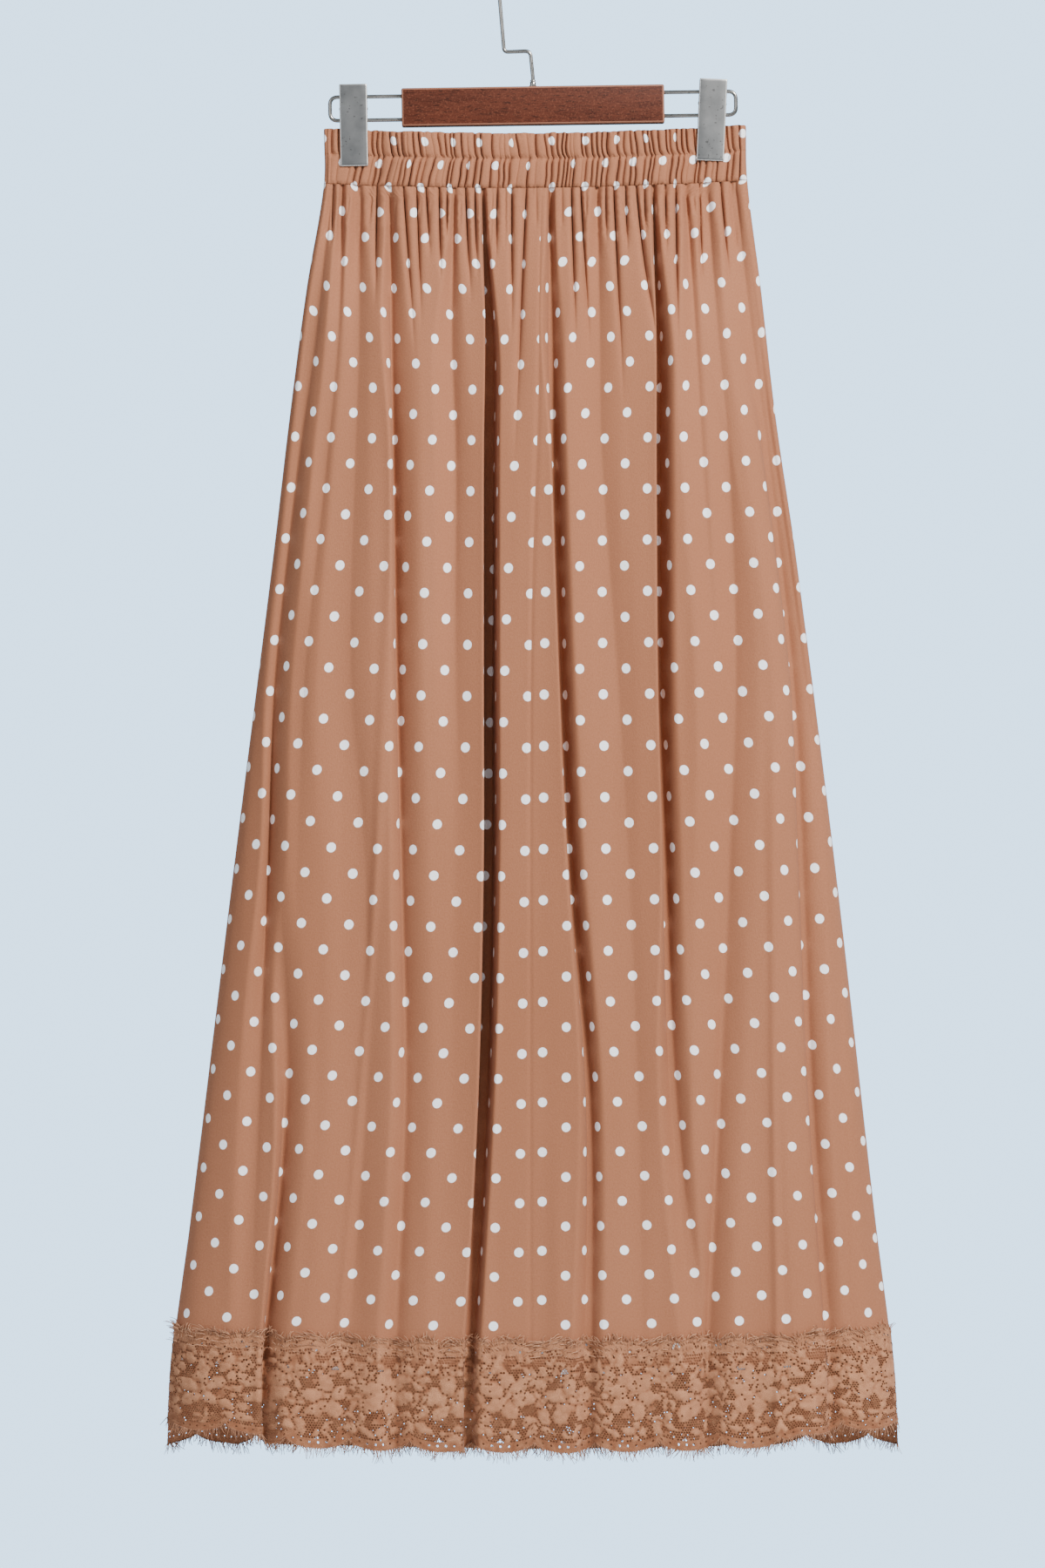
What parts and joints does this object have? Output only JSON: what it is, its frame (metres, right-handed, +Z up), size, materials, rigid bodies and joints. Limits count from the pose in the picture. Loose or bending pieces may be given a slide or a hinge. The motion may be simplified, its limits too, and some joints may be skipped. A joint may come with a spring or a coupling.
{
  "type": "maxi skirt on clip hanger",
  "caption": "Long gathered skirt with a shirred elastic waist and a scalloped lace hem, hung by its waist from a wooden bar hanger with sliding clips.",
  "frame": {"origin": "the hang point, at the inner top of the hook's bend", "axes": "+Z up; the skirt's front faces -Y; +X to the right as seen from the front"},
  "size_m": [0.5549, 0.1056, 1.1575],
  "materials": {
    "skirt_cloth": "matt plain-woven cloth, tan with small white dots",
    "lace": "matt net lace with floral motifs and eyelash edges",
    "bar_wood": "red-brown stained wood, satin varnish",
    "polished_wire": "polished plating",
    "satin_metal": "satin plated sheet"
  },
  "bodies": {
    "root": {"hook": "polished_wire", "ferrule": "polished_wire", "rod_left": "polished_wire", "rod_right": "polished_wire", "hanger_bar": "bar_wood", "waistband": "skirt_cloth", "front_left": "skirt_cloth", "front_right": "skirt_cloth", "back": "skirt_cloth", "hem_lace_front": "lace", "hem_lace_back": "lace", "lash_front": "lace", "lash_back": "lace", "clip_left_face": "satin_metal", "clip_left_jaw": "satin_metal", "clip_left_pin": "satin_metal", "clip_left_spring": "satin_metal", "clip_right_face": "satin_metal", "clip_right_jaw": "satin_metal", "clip_right_pin": "satin_metal", "clip_right_spring": "satin_metal"}
  },
  "joints": []
}
